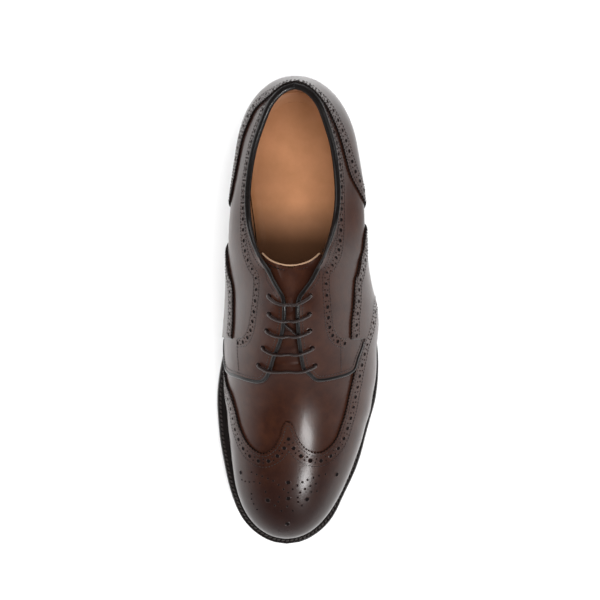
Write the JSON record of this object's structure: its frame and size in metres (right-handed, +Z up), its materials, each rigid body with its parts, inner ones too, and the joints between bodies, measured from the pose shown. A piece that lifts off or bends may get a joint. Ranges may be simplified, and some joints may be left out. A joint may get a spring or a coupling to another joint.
{
  "type": "derby shoe",
  "caption": "Full brogue derby shoe for the left foot, with a wing cap, open lacing, a welted rubber sole with ring studs and a low block heel.",
  "frame": {"origin": "on the floor, below the middle of the shoe's box", "axes": "+Z up, toe toward -Y, medial side toward -X, lateral side toward +X"},
  "size_m": [0.1068, 0.3026, 0.1111],
  "materials": {
    "calf": "polished dark brown calf",
    "lace": "waxed round cord, very dark brown",
    "welt": "black-brown edge dressing",
    "insole": "tan lining leather",
    "rubber": "matt moulded rubber, dark grey-brown",
    "heel_block": "stained and waxed lifts"
  },
  "bodies": {
    "root": {"upper": "calf", "wing_cap": "calf", "quarter_medial": "calf", "quarter_lateral": "calf", "side_panel_medial": "calf", "side_panel_lateral": "calf", "counter": "calf", "tongue": "calf", "lace": "lace", "welt": "welt", "insole": "insole", "outsole": "rubber", "heel_block": "heel_block", "heel_top_piece": "rubber"}
  },
  "joints": []
}
